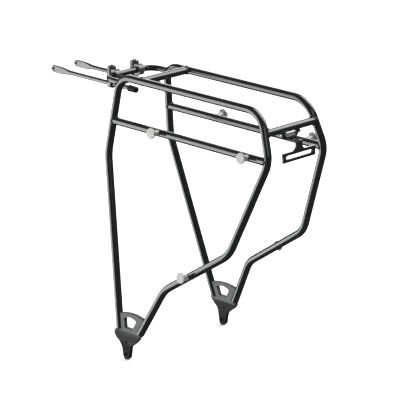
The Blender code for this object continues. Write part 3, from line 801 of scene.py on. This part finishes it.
@dataclass
class SideFrame:
    """One bent side loop with its rail, three studs and cast foot."""

    side: Side
    tube_radius: float = 0.005
    top_height: float = 0.349
    top_half_width: float = 0.0415
    lean: float = 0.1435
    rail_height: float = 0.2918
    corners: tuple[tuple[float, float], ...] = (
        (-0.0147, 0.0312), (-0.0663, 0.2490), (-0.0583, 0.3490), (0.1882, 0.3490),
        (0.2089, 0.2917), (0.1605, 0.1674), (0.0573, 0.0984), (0.0225, 0.0323))
    bends: tuple[float, ...] = (0.060, 0.022, 0.032, 0.035, 0.040, 0.040)
    rail_studs: tuple[float, float] = (0.0215, 0.1765)
    lower_stud: float = 0.0975
    end_gap: float = 0.0009
    weld_bead: float = 0.0011
    foot_edge: float = 0.0003

    def spot(self, x: float, z: float) -> Vector:
        """A point of the leaning side plane."""
        return Vector((x, self.side.value * (self.top_half_width + self.lean * (self.top_height - z)), z))

    @property
    def outward(self) -> Vector:
        """The unit normal of the side plane, away from the wheel."""
        return Vector((0.0, self.side.value, self.lean)).normalized()

    def path(self) -> list[Vector]:
        """Centre line of the loop, from the front foot round to the rear foot."""
        return rounded_path([self.spot(*corner) for corner in self.corners], self.bends)

    def crossings(self, height: float) -> list[float]:
        """The x places, front to back, where the loop passes a height."""
        path = self.path()
        found = []
        for start, finish in zip(path, path[1:]):
            if (start.z - height) * (finish.z - height) < 0.0:
                share = (height - start.z) / (finish.z - start.z)
                found.append(start.x + (finish.x - start.x) * share)
        return sorted(found)

    def build(self, tubes: TubeTree, welds: WeldTree) -> None:
        """Make and fit every piece of the side."""
        word = self.side.word
        loop = tubes.run(f"{word}_loop_tube", self.path(), False, Radius=self.tube_radius)
        Fitter.fit(loop, "rack", TUBE_PAINT, f"{word}_side_loop")
        self.build_rail(tubes, welds)
        foot = softened_copy(f"{word}_foot", f"{word}_foot_casting", FOOT_CAST, self.foot_edge)
        Fitter.fit(foot, "rack", FOOT_CAST, f"{word}_foot")
        for label, place in zip(("front", "rear"), self.rail_studs):
            Stud(self.side, label).build(self.spot(place, self.rail_height), Vector((1.0, 0.0, 0.0)),
                                         self.outward, welds)
        self.build_lower_stud(welds)

    def build_rail(self, tubes: TubeTree, welds: WeldTree) -> None:
        """The side rail and the two welds that hold it."""
        front, rear = self.crossings(self.rail_height)
        start = self.spot(front + self.end_gap, self.rail_height)
        finish = self.spot(rear - self.end_gap, self.rail_height)
        rail = tubes.run(f"{self.side.word}_rail_tube", [start, finish], False, Radius=self.tube_radius)
        Fitter.fit(rail, "rack", TUBE_PAINT, f"{self.side.word}_side_rail")
        middle = (start + finish) / 2.0
        for label, end in (("front", start), ("rear", finish)):
            weld_end(f"{self.side.word}_rail_{label}_weld", middle, end, self, welds)

    def build_lower_stud(self, welds: WeldTree) -> None:
        """The stud on the slanting lower leg."""
        low, high = self.corners[6], self.corners[5]
        share = (self.lower_stud - low[0]) / (high[0] - low[0])
        height = low[1] + (high[1] - low[1]) * share
        along = (self.spot(*high) - self.spot(*low)).normalized()
        Stud(self.side, "lower").build(self.spot(self.lower_stud, height), along, self.outward, welds)


def weld_end(name: str, middle: Vector, end: Vector, frame: SideFrame, welds: WeldTree,
             radius: float | None = None) -> None:
    """Weld the end of a straight tube to the side loop that it meets.

    Args:
        name: the piece's name.
        middle: a point on the tube's axis, away from the end.
        end: the tube's end.
        frame: the side whose loop it meets.
        welds: the tree that lays the bead.
        radius: the tube's radius, if it isn't that of the loop.
    """
    axis = (end - middle).normalized()
    point, along = nearest(frame.path(), end)
    root = end - axis * BRANCH_REACH
    seat = frame.tube_radius + WELD_SEAT
    ring = saddle(root, axis, radius or frame.tube_radius, (point, along), seat)
    bead = welds.run(name, ring, True, Bead=frame.weld_bead)
    Fitter.fit(bead, "rack", TUBE_PAINT)


@dataclass
class Stud:
    """A bright turned stud: a thin broad head on a long neck, with a weld where it meets the tube."""

    side: Side
    label: str
    reach: float = 0.0166
    head_radius: float = 0.0070
    head_thickness: float = 0.0022
    cone: float = 0.0010
    neck_radius: float = 0.0040
    tube_radius: float = 0.005
    edge: float = 0.0005
    bead: float = 0.0006
    ripple_share: float = 1.5
    dish: tuple[tuple[float, float], ...] = ((0.55, 0.00003), (0.2, 0.00010), (0.0, 0.00012))

    def build(self, centre: Vector, along: Vector, outward: Vector, welds: WeldTree) -> None:
        """Turn the stud and fit it on the tube.

        Args:
            centre: the point on the tube's axis.
            along: the tube's direction.
            outward: the stud's direction.
            welds: the tree that lays the bead round the neck.
        """
        word = f"{self.side.word}_{self.label}"
        lathe = Lathe(centre, outward)
        stud = lathe.turn(f"{word}_stud_head", self.profile(), STUD_STEEL)
        Fitter.fit(stud, "rack", STUD_STEEL, f"{word}_stud")
        ring = saddle(centre + outward * self.reach, -outward, self.neck_radius,
                      (centre, along), self.tube_radius + WELD_SEAT)
        bead = welds.run(f"{word}_stud_weld", ring, True, Bead=self.bead,
                         Pitch=self.ripple_share * self.bead)
        Fitter.fit(bead, "rack", TUBE_PAINT)

    def profile(self) -> list[tuple[float, float]]:
        """The neck, the coned back of the head, its rim, and a face with a shallow dish."""
        back = self.reach - self.head_thickness
        root = self.tube_radius * 0.5
        return [(0.0, root), (self.neck_radius, root), (self.neck_radius, back - self.cone / 2.0),
                (self.neck_radius + self.cone, back),
                *rounded_step(self.head_radius, back, self.edge, True),
                *rounded_step(self.head_radius, self.reach, self.edge, False),
                *((self.head_radius * share, self.reach - depth) for share, depth in self.dish)]


# ---- cross tubes -----------------------------------------------------------------------------
@dataclass
class CrossTubes:
    """The two crossbars, the front hoop and their welds."""

    frames: tuple[SideFrame, SideFrame]
    front_x: float = -0.0205
    rear_height: float = 0.3243
    hoop_radius: float = 0.004
    hoop_front_x: float = -0.0893
    hoop_drop: float = 0.0077
    hoop_bend: float = 0.020
    end_gap: float = 0.0009

    def build(self, tubes: TubeTree, welds: WeldTree) -> None:
        """Make and fit the three cross tubes."""
        front = [frame.spot(self.front_x, frame.top_height) for frame in self.frames]
        self.bar("front_crossbar", front, tubes, welds)
        rear = [frame.spot(self.rear_x, self.rear_height) for frame in self.frames]
        self.bar("rear_crossbar", rear, tubes, welds)
        self.hoop(tubes, welds)

    @property
    def rear_x(self) -> float:
        """Where the rear crossbar meets the rear legs."""
        return self.frames[0].crossings(self.rear_height)[-1]

    def bar(self, node: str, ends: Sequence[Vector], tubes: TubeTree, welds: WeldTree) -> None:
        """One straight crossbar with a weld at each end."""
        radius = self.frames[0].tube_radius
        middle = (ends[0] + ends[1]) / 2.0
        trimmed = [end + (middle - end).normalized() * self.end_gap for end in ends]
        Fitter.fit(tubes.run(f"{node}_tube", trimmed, False, Radius=radius), "rack", TUBE_PAINT, node)
        for frame, end in zip(self.frames, trimmed):
            weld_end(f"{node}_{frame.side.word}_weld", middle, end, frame, welds)

    def hoop(self, tubes: TubeTree, welds: WeldTree) -> None:
        """The hoop in front, whose legs run back to the first bends of the loops."""
        height = self.frames[0].top_height - self.hoop_drop
        rear = [frame.spot(frame.crossings(height)[0] + self.end_gap, height) for frame in self.frames]
        corners = [rear[0], Vector((self.hoop_front_x, rear[0].y, height)),
                   Vector((self.hoop_front_x, rear[1].y, height)), rear[1]]
        path = rounded_path(corners, (self.hoop_bend, self.hoop_bend))
        hoop = tubes.run("front_hoop_tube", path, False, Radius=self.hoop_radius)
        Fitter.fit(hoop, "rack", TUBE_PAINT, "front_hoop")
        for frame, start, end in ((self.frames[0], path[1], path[0]), (self.frames[1], path[-2], path[-1])):
            weld_end(f"hoop_{frame.side.word}_weld", start, end, frame, welds, self.hoop_radius)


# ---- tail bracket ----------------------------------------------------------------------------
@dataclass
class TailBracket:
    """The rod loop under the rear crossbar and the slotted plate for a light."""

    crossbar: Vector
    tab_height: float = 0.3110
    rod_radius: float = 0.0025
    half_width: float = 0.0125
    seat: float = 0.0008
    bend: float = 0.0055
    crossbar_radius: float = 0.005
    weld_bead: float = 0.0008
    weld_pitch: float = 0.0010
    plate_edge: float = 0.0004
    pin_edge: float = 0.0002

    def build(self, tubes: TubeTree, welds: WeldTree) -> None:
        """Make and fit the loop, its welds, its pin and the plate."""
        floor = self.tab_height + self.rod_radius - self.seat
        x, top = self.crossbar.x, self.crossbar.z
        corners = [Vector((x, -self.half_width, top)), Vector((x, -self.half_width, floor)),
                   Vector((x, self.half_width, floor)), Vector((x, self.half_width, top))]
        loop = tubes.run("tail_bracket_rod", rounded_path(corners, (self.bend, self.bend)), False,
                         Radius=self.rod_radius)
        Fitter.fit(loop, "rack", TUBE_PAINT, "tail_bracket_loop")
        line = (self.crossbar, Vector((0.0, 1.0, 0.0)))
        for label, corner in (("left", corners[1]), ("right", corners[2])):
            root = corner - Vector((0.0, 0.0, BRANCH_REACH))
            ring = saddle(root, Vector((0.0, 0.0, 1.0)), self.rod_radius, line, self.crossbar_radius)
            bead = welds.run(f"tail_rod_{label}_weld", ring, True, Bead=self.weld_bead, Pitch=self.weld_pitch)
            Fitter.fit(bead, "rack", TUBE_PAINT)
        pin = softened_copy("tail_bracket_pin", "tail_cross_pin", PIN_STEEL, self.pin_edge)
        Fitter.fit(pin, "rack", PIN_STEEL, "tail_bracket_pin")
        plate = softened_copy("tail_light_bracket", "tail_light_plate", TUBE_PAINT, self.plate_edge)
        Fitter.fit(plate, "rack", TUBE_PAINT, "tail_light_bracket")


# ---- clamps and stays ------------------------------------------------------------------------
@dataclass
class StayClamp:
    """Two jaws on the hoop, the eye bolt between them, its washer, nut and thread."""

    side: Side
    jaw_edge: float = 0.0005
    small_edge: float = 0.00025
    washer_edge: float = 0.000125
    thread_radius: float = 0.00245
    thread_low: float = -0.0006
    thread_high: float = 0.0004

    def build(self, threads: ThreadTree) -> None:
        """Make and fit every piece of the clamp."""
        word = self.side.word
        rows = (("clamp_upper_jaw", "clamp", CLAMP_CAST, self.jaw_edge),
                ("clamp_lower_jaw", "clamp", CLAMP_CAST, self.jaw_edge),
                ("clamp_washer", "clamp", FASTENER_STEEL, self.washer_edge),
                ("eye_bolt", "eye", FASTENER_STEEL, self.small_edge),
                ("clamp_nut", "eye", FASTENER_STEEL, self.small_edge))
        for node, body, finish, edge in rows:
            piece = softened_copy(f"{word}_{node}", f"{word}_{node}_body", finish, edge)
            Fitter.fit(piece, f"{word}_{body}", finish, f"{word}_{node}")
        low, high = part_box(f"{word}_clamp_nut")
        centre = (low + high) / 2.0
        ends = [Vector((centre.x, centre.y, high.z + rise)) for rise in (self.thread_low, self.thread_high)]
        thread = threads.run(f"{word}_bolt_thread", ends, False, Radius=self.thread_radius)
        Fitter.fit(thread, f"{word}_eye", FASTENER_STEEL)


@dataclass
class Stay:
    """A round rod pressed to a drilled flat at its front end, with a rubber cap behind."""

    side: Side
    radius: float = 0.0030
    flat_half_height: float = 0.0050
    flat_half_thickness: float = 0.0022
    flat_length: float = 0.0120
    blend_length: float = 0.0220
    flat_power: float = 3.2
    hole_radius: float = 0.0026
    hole_inset: float = 0.0050
    section_points: int = 40
    nose_step: int = 6
    blend_steps: int = 14
    end_chamfer: float = 0.0003
    end_shrink: float = 0.92
    drill_length: float = 0.02
    drill_sides: int = 40
    cap_radius: float = 0.0041
    cap_lip: float = 0.0045
    cap_floor: float = 0.0028
    cap_clearance: float = 0.0002
    cap_dome: float = 0.0024
    cap_segments: int = 48
    cap_lip_profile: tuple[tuple[float, float], ...] = ((-0.0003, 0.0), (0.0, 0.0004), (0.0, 0.0014))
    cap_lip_end: float = 0.0020

    def build(self) -> None:
        """Make and fit the rod and the cap."""
        word = self.side.word
        low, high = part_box(f"{word}_stay")
        centre = (low + high) / 2.0
        nose = low.x + self.hole_inset
        rod = self.rod(f"{word}_stay_rod", low.x, high.x, centre)
        self.drill(rod, Vector((nose, centre.y, centre.z)))
        Fitter.fit(rod, f"{word}_stay", STAY_PAINT, f"{word}_stay")
        self.cap(centre)

    def measures(self, x: float, front: float) -> tuple[float, float, float]:
        """Half height, half thickness and squareness of the section at a place.

        Args:
            x: the place along the stay.
            front: the front tip's x.

        Returns:
            Half height, half thickness and the power of the section's outline.
        """
        share = (x - front - self.hole_inset - self.flat_length) / self.blend_length
        share = min(1.0, max(0.0, share))
        ease = share * share * (3.0 - 2.0 * share)
        height = self.flat_half_height + (self.radius - self.flat_half_height) * ease
        thickness = self.flat_half_thickness + (self.radius - self.flat_half_thickness) * ease
        from_nose = front + self.hole_inset - x
        if from_nose > 0.0:
            height *= math.sqrt(max(0.0, 1.0 - (from_nose / self.hole_inset) ** 2))
        return height, thickness, self.flat_power + (2.0 - self.flat_power) * ease

    def places(self, front: float, rear: float) -> list[float]:
        """Where the sections lie: close together at the round nose and the blend."""
        angles = [math.radians(angle) for angle in range(self.nose_step, 91, self.nose_step)]
        nose = [front + self.hole_inset * (1.0 - math.cos(angle)) for angle in angles]
        flat_end = front + self.hole_inset + self.flat_length
        steps = range(self.blend_steps + 1)
        blend = [flat_end + self.blend_length * step / self.blend_steps for step in steps]
        return [*nose, *blend, rear - self.end_chamfer, rear]

    def rod(self, name: str, front: float, rear: float, centre: Vector) -> bpy.types.Object:
        """Loft the rod from nose to rear end.

        Args:
            name: the piece's name.
            front: the front tip's x.
            rear: the rear end's x.
            centre: a point on the rod's axis.

        Returns:
            The closed rod.
        """
        shape = bmesh.new()
        rings = []
        for x in self.places(front, rear):
            height, thickness, power = self.measures(x, front)
            shrink = self.end_shrink if x == rear else 1.0
            ring = []
            for index in range(self.section_points):
                angle = FULL_TURN * index / self.section_points
                across, up = math.cos(angle), math.sin(angle)
                y = math.copysign(abs(across) ** (2.0 / power), across) * thickness * shrink
                z = math.copysign(abs(up) ** (2.0 / power), up) * height * shrink
                ring.append(shape.verts.new((x, centre.y + y, centre.z + z)))
            rings.append(ring)
        for first, second in zip(rings, rings[1:]):
            Lathe.skin(shape, first, second)
        shape.faces.new(rings[0])
        shape.faces.new(rings[-1])
        bmesh.ops.recalc_face_normals(shape, faces=shape.faces)
        return new_piece(name, shape, STAY_PAINT)

    def drill(self, rod: bpy.types.Object, centre: Vector) -> None:
        """Cut the bolt hole through the flat."""
        drill = bmesh.new()
        turned = Matrix.Translation(centre) @ Matrix.Rotation(math.radians(90.0), 4, "X")
        bmesh.ops.create_cone(drill, cap_ends=True, segments=self.drill_sides, radius1=self.hole_radius,
                              radius2=self.hole_radius, depth=self.drill_length, matrix=turned)
        cutter = new_piece("drill", drill, STAY_PAINT)
        boolean = rod.modifiers.new("hole", "BOOLEAN")
        boolean.object = cutter
        boolean.solver = "EXACT"
        settle(rod)
        bpy.data.objects.remove(cutter)

    def cap(self, centre: Vector) -> None:
        """The rubber cap: a lip, a straight wall and a domed end."""
        word = self.side.word
        low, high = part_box(f"{word}_stay_cap")
        length = high.x - low.x
        dome = [(self.cap_radius * math.cos(math.radians(angle)),
                 length - self.cap_dome + self.cap_dome * math.sin(math.radians(angle)))
                for angle in range(0, 90, 10)]
        bore = self.radius + self.cap_clearance
        lip = [(self.cap_lip + proud, height) for proud, height in self.cap_lip_profile]
        profile = [(0.0, length - self.cap_floor), (bore, length - self.cap_floor), (bore, 0.0), *lip,
                   (self.cap_radius, self.cap_lip_end), *dome, (0.0, length)]
        lathe = Lathe(Vector((low.x, centre.y, centre.z)), Vector((1.0, 0.0, 0.0)), self.cap_segments)
        cap = lathe.turn(f"{word}_cap", profile, CAP_RUBBER)
        Fitter.fit(cap, f"{word}_stay", CAP_RUBBER, f"{word}_stay_cap")


# ---- studio ----------------------------------------------------------------------------------
@dataclass(frozen=True)
class SoftBox:
    """A large soft light."""

    name: str
    place: tuple[float, float, float]
    target: tuple[float, float, float]
    width: float
    height: float
    power: float

    def hang(self) -> None:
        """Put the light in the scene."""
        lamp = bpy.data.lights.new(self.name, "AREA")
        lamp.shape = "RECTANGLE"
        lamp.size = self.width
        lamp.size_y = self.height
        lamp.energy = self.power
        holder = bpy.data.objects.new(self.name, lamp)
        aim = Vector(self.target) - Vector(self.place)
        holder.location = self.place
        holder.rotation_euler = aim.to_track_quat("-Z", "Y").to_euler()
        holder.visible_camera = False
        bpy.context.scene.collection.objects.link(holder)


@dataclass
class Studio:
    """The camera, the pale floor and the lights."""

    camera_place: tuple[float, float, float] = (2.018, -1.994, 1.0885)
    camera_turn: tuple[float, float, float] = (72.38, 0.0, 44.72)
    lens: float = 208.0
    sensor: float = 36.0
    floor_half: float = 9.0
    floor_height: float = -0.0072
    floor_grey: float = 0.86
    floor_roughness: float = 0.9
    surround: float = 1.15
    surround_hidden: float = 1.08
    boxes: tuple[SoftBox, ...] = (
        SoftBox("left_strip", (-1.25, -1.05, -0.13), (0.0, 0.0, -0.13), 1.7, 1.85, 46.0),
        SoftBox("rear_top", (0.35, 0.95, 1.50), (0.05, 0.0, 0.25), 1.3, 1.6, 32.0),
        SoftBox("near_strip", (1.44, -0.69, 0.95), (0.15, 0.0, 0.30), 0.40, 0.60, 2.2),
        SoftBox("rear_low", (-1.05, 1.05, 0.80), (0.15, 0.0, 0.30), 0.8, 0.8, 7.0))

    def build(self) -> None:
        """Set up everything that isn't the rack."""
        self.set_camera()
        self.lay_floor()
        self.light_world()
        for box in self.boxes:
            box.hang()
        bpy.context.scene.view_settings.view_transform = "Standard"

    def set_camera(self) -> None:
        """A long lens from behind, above and to the left of the rack."""
        lens = bpy.data.cameras.new("camera")
        lens.lens = self.lens
        lens.sensor_width = self.sensor
        holder = bpy.data.objects.new("camera", lens)
        holder.location = self.camera_place
        holder.rotation_euler = [math.radians(angle) for angle in self.camera_turn]
        bpy.context.scene.collection.objects.link(holder)
        bpy.context.scene.camera = holder

    def lay_floor(self) -> None:
        """A wide, plain, pale floor."""
        shape = bmesh.new()
        level = Matrix.Translation((0.0, 0.0, self.floor_height))
        bmesh.ops.create_grid(shape, size=self.floor_half, matrix=level)
        mesh = bpy.data.meshes.new("studio_floor")
        shape.to_mesh(mesh)
        shape.free()
        mesh.materials.append(self.floor_material())
        floor = bpy.data.objects.new("studio_floor", mesh)
        bpy.context.scene.collection.objects.link(floor)
        floor.visible_glossy = False

    def floor_material(self) -> bpy.types.Material:
        """Matt white paper."""
        material = bpy.data.materials.new("studio_paper")
        material.use_nodes = True
        shader = material.node_tree.nodes["Principled BSDF"]
        shader.inputs["Base Color"].default_value = (self.floor_grey, self.floor_grey, self.floor_grey, 1.0)
        shader.inputs["Roughness"].default_value = self.floor_roughness
        shader.inputs["Specular IOR Level"].default_value = 0.0
        return material

    def light_world(self) -> None:
        """An even white surround that lights the scene but stays dark in reflections."""
        world = bpy.data.worlds.new("surround")
        world.use_nodes = True
        bpy.context.scene.world = world
        sheet = NodeSheet(world.node_tree)
        glossy = sheet.add("ShaderNodeLightPath").signal("Is Glossy Ray")
        background = world.node_tree.nodes["Background"]
        strength = self.surround - self.surround_hidden * glossy
        world.node_tree.links.new(strength.socket, background.inputs["Strength"])
        background.inputs["Color"].default_value = (1.0, 1.0, 1.0, 1.0)


def main() -> None:
    """Build the rack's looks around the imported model."""
    logging.basicConfig(level=logging.INFO, format="%(message)s")
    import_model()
    tubes = TubeTree(TUBE_PAINT)
    welds = WeldTree(TUBE_PAINT)
    threads = ThreadTree(FASTENER_STEEL)
    frames = (SideFrame(Side.LEFT), SideFrame(Side.RIGHT))
    for frame in frames:
        frame.build(tubes, welds)
    cross = CrossTubes(frames)
    cross.build(tubes, welds)
    TailBracket(Vector((cross.rear_x, 0.0, cross.rear_height))).build(tubes, welds)
    for side in Side:
        StayClamp(side).build(threads)
        Stay(side).build()
    Studio().build()


if __name__ == "__main__":
    main()
